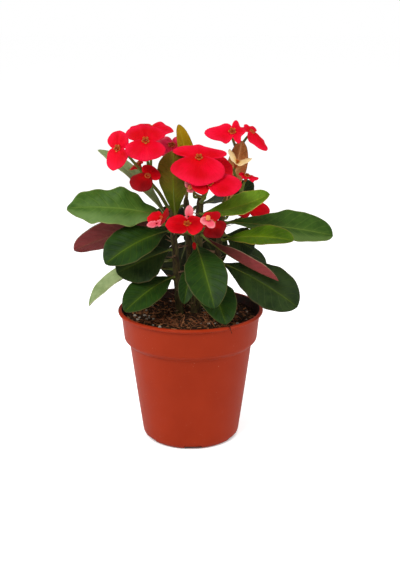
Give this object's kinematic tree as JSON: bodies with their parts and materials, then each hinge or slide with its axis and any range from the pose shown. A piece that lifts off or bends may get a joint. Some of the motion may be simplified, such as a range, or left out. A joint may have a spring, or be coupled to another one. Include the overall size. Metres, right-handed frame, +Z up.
{
  "type": "potted euphorbia",
  "caption": "Crown-of-thorns euphorbia with broad leathery leaves, thorny stems and red two-lobed flowers, growing in soil in a round plastic nursery pot.",
  "frame": {"origin": "middle of the pot's flat base, on the surface that it stands on", "axes": "+Z up; the plant's front, the side seen in the picture, faces -Y, and +X is to its right as seen from the front"},
  "size_m": [0.215, 0.148, 0.2642],
  "materials": {
    "pot": "satin moulded terracotta-coloured plastic",
    "soil": "crumbly dark peat soil with fibres, bark chips and perlite",
    "bark": "matt grey-brown bark",
    "leaf": "leathery mid-green with a soft sheen, some undersides purple-brown",
    "stalk": "smooth olive-green",
    "bract": "satin crimson petal",
    "cream_bract": "satin cream petal, half open"
  },
  "bodies": {
    "root": {"flower_back_left": "bract", "flower_back_right": "bract", "flower_centre_back": "bract", "flower_centre_lower": "bract", "flower_centre_upper": "bract", "flower_cream": "cream_bract", "flower_front": "bract", "flower_front_left": "bract", "flower_front_right": "bract", "flower_left_back": "bract", "flower_left_front": "bract", "flower_left_low": "bract", "flower_left_side": "bract", "flower_left_top": "bract", "flower_middle": "bract", "flower_right_front": "bract", "flower_right_low": "bract", "flower_right_side": "bract", "flower_right_small": "bract", "flower_stalk_back": "stalk", "flower_stalk_centre": "stalk", "flower_stalk_front": "stalk", "flower_stalk_left": "stalk", "flower_stalk_low_right": "stalk", "flower_stalk_middle": "stalk", "flower_stalk_right": "stalk", "flower_stalk_top_right": "stalk", "leaf_back_far_left": "leaf", "leaf_back_left": "leaf", "leaf_back_low": "leaf", "leaf_back_right": "leaf", "leaf_back_side": "leaf", "leaf_brown": "leaf", "leaf_crown": "leaf", "leaf_front": "leaf", "leaf_front_low": "leaf", "leaf_front_soil": "leaf", "leaf_left_dark": "leaf", "leaf_left_drooping": "leaf", "leaf_left_front": "leaf", "leaf_left_long": "leaf", "leaf_left_low": "leaf", "leaf_left_purple": "leaf", "leaf_left_soil": "leaf", "leaf_left_upper": "leaf", "leaf_right_behind": "leaf", "leaf_right_broad": "leaf", "leaf_right_dark": "leaf", "leaf_right_long": "leaf", "leaf_right_purple": "leaf", "leaf_right_small": "leaf", "leaf_right_top": "leaf", "leaf_right_upper": "leaf", "leaf_upright": "leaf", "pot": "pot", "soil": "soil", "stem_back": "bark", "stem_left": "bark", "stem_main": "bark", "stem_right": "bark"}
  },
  "joints": []
}
